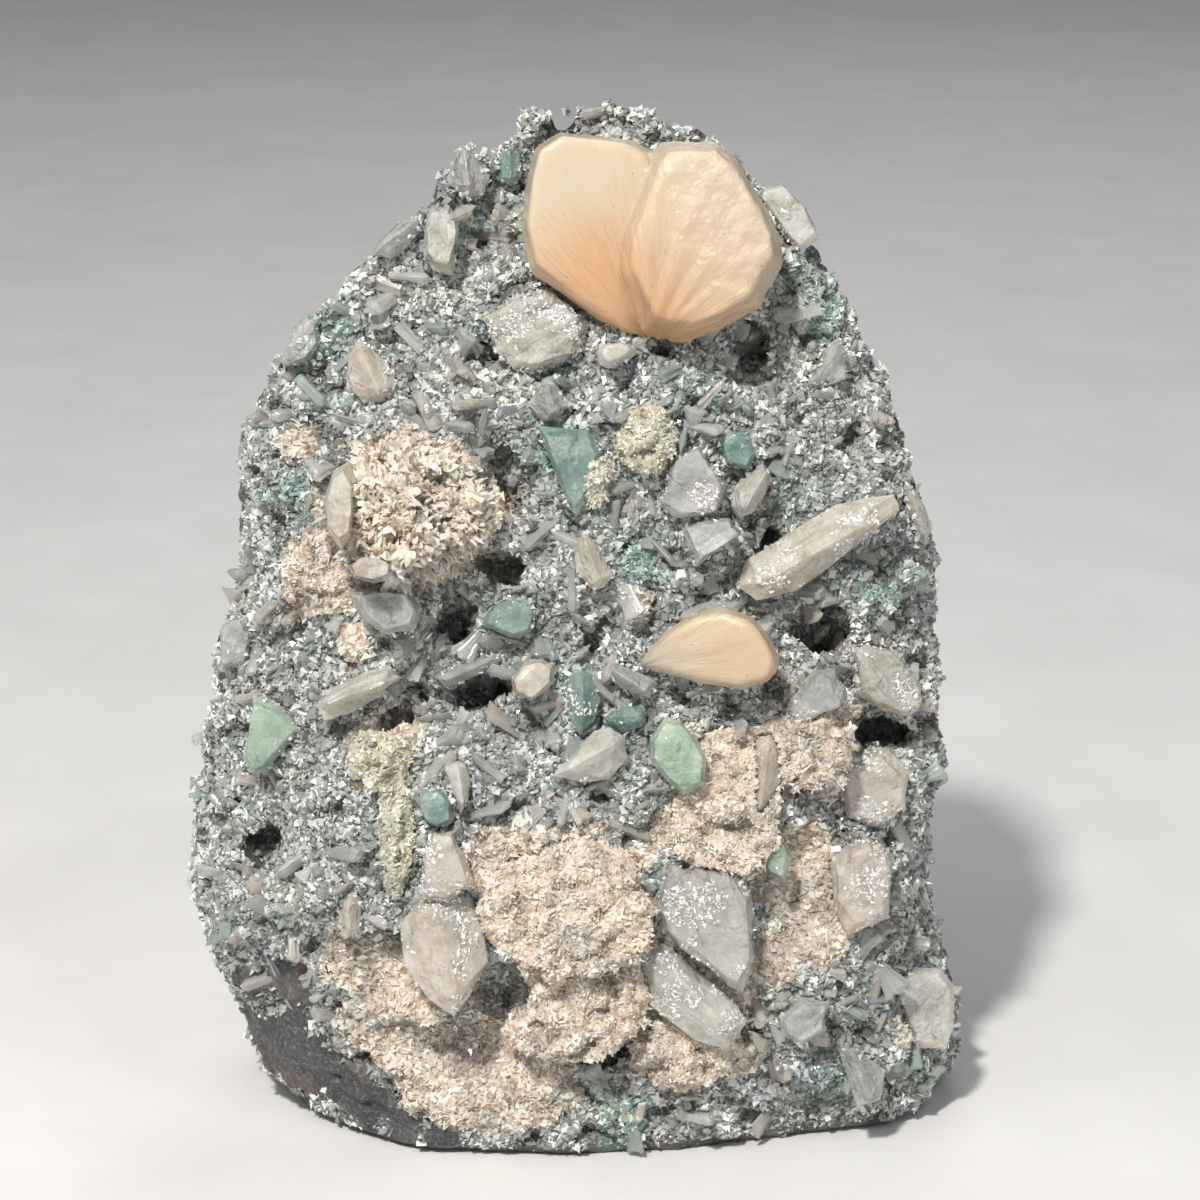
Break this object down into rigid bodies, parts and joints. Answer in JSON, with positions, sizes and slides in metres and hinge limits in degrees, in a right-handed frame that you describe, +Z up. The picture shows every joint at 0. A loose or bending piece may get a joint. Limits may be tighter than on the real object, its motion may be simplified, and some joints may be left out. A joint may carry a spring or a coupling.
{
  "type": "green apophyllite with heulandite and stilbite on matrix",
  "caption": "Free-standing mineral specimen: mint green and smoky crystals, a peach crystal fan and cream crusts on a sparkling hump of rock with a sawn flat base.",
  "frame": {"origin": "middle of the specimen's footprint box, on the sawn flat base", "axes": "+Z up from the sawn base to the crest, +Y away from the crystal face, so the face looks along -Y, +X to the viewer's right"},
  "size_m": [0.1818, 0.1098, 0.2345],
  "materials": {
    "druse_coated_basalt": "dark basalt under a sugary coat of tiny white and grey-green crystals, rough and sparkling",
    "peach_stilbite": "pearly peach crystal, orange where its fibres meet, translucent at the rims",
    "mint_green_apophyllite": "glassy mint green crystal, milky inside",
    "blue_green_apophyllite": "glassy blue-green crystal",
    "milky_crystal": "milky white translucent crystal, glassy faces",
    "blush_stilbite": "pink-beige translucent crystal with fine lengthwise lines, pearly",
    "straw_heulandite": "straw to grey striated sheaf, pearly and translucent",
    "smoky_heulandite": "smoky grey translucent blade with fine lines, pearly gloss",
    "clear_heulandite": "clear grey crystal block, glassy with bright glints",
    "cream_crust": "matt cream to pinkish crust of tiny spiky crystals"
  },
  "bodies": {
    "root": {"apophyllite_dark_teal": "blue_green_apophyllite", "apophyllite_green_centre": "mint_green_apophyllite", "apophyllite_green_left": "mint_green_apophyllite", "apophyllite_green_lower": "mint_green_apophyllite", "apophyllite_green_upper": "blue_green_apophyllite", "apophyllite_milky": "milky_crystal", "apophyllite_milky_upright": "milky_crystal", "apophyllite_teal_glassy": "blue_green_apophyllite", "apophyllite_teal_low_left": "blue_green_apophyllite", "apophyllite_teal_mid_left": "blue_green_apophyllite", "apophyllite_teal_ridge": "blue_green_apophyllite", "apophyllite_teal_top": "blue_green_apophyllite", "apophyllite_white_knob": "milky_crystal", "cream_crust_below_slab": "cream_crust", "cream_crust_beside_ball": "cream_crust", "cream_crust_low_left": "cream_crust", "cream_crust_right": "cream_crust", "cream_knot_beside_green": "straw_heulandite", "cream_knot_upper": "straw_heulandite", "cream_spiky_ball": "cream_crust", "cream_tongue_left": "straw_heulandite", "heulandite_blade_below_sheaf": "smoky_heulandite", "heulandite_blade_low_right": "smoky_heulandite", "heulandite_blade_mid_left": "straw_heulandite", "heulandite_blade_under_ball": "smoky_heulandite", "heulandite_blue_grey_block": "smoky_heulandite", "heulandite_blue_plates": "smoky_heulandite", "heulandite_clear_block": "clear_heulandite", "heulandite_corner_crystal": "milky_crystal", "heulandite_fan_upper_left": "straw_heulandite", "heulandite_grey_arm": "smoky_heulandite", "heulandite_grey_blade_upper_right": "smoky_heulandite", "heulandite_grey_half_lens": "smoky_heulandite", "heulandite_left_corner": "smoky_heulandite", "heulandite_lens_upper_left": "smoky_heulandite", "heulandite_long_blade": "blush_stilbite", "heulandite_plate_left_edge": "smoky_heulandite", "heulandite_raised_blade": "milky_crystal", "heulandite_right_block": "straw_heulandite", "heulandite_right_triangle": "smoky_heulandite", "heulandite_sheaf_under_fan": "straw_heulandite", "heulandite_smoky_lens": "smoky_heulandite", "heulandite_striped_fan": "smoky_heulandite", "heulandite_upright_prism": "blush_stilbite", "heulandite_wedge_top_right": "milky_crystal", "matrix_rock": "druse_coated_basalt", "peach_stilbite_fan": "peach_stilbite", "stilbite_bright_slab": "milky_crystal", "stilbite_brown_blade": "blush_stilbite", "stilbite_cluster_low_left": "blush_stilbite", "stilbite_domed_prism": "blush_stilbite", "stilbite_fan_low_right": "peach_stilbite", "stilbite_left_lens": "blush_stilbite", "stilbite_lobed_blade": "blush_stilbite", "stilbite_on_ball_lower": "blush_stilbite", "stilbite_on_ball_upper": "blush_stilbite", "stilbite_pink_blade": "blush_stilbite", "stilbite_right_block": "blush_stilbite", "stilbite_rim": "blush_stilbite"}
  },
  "joints": []
}
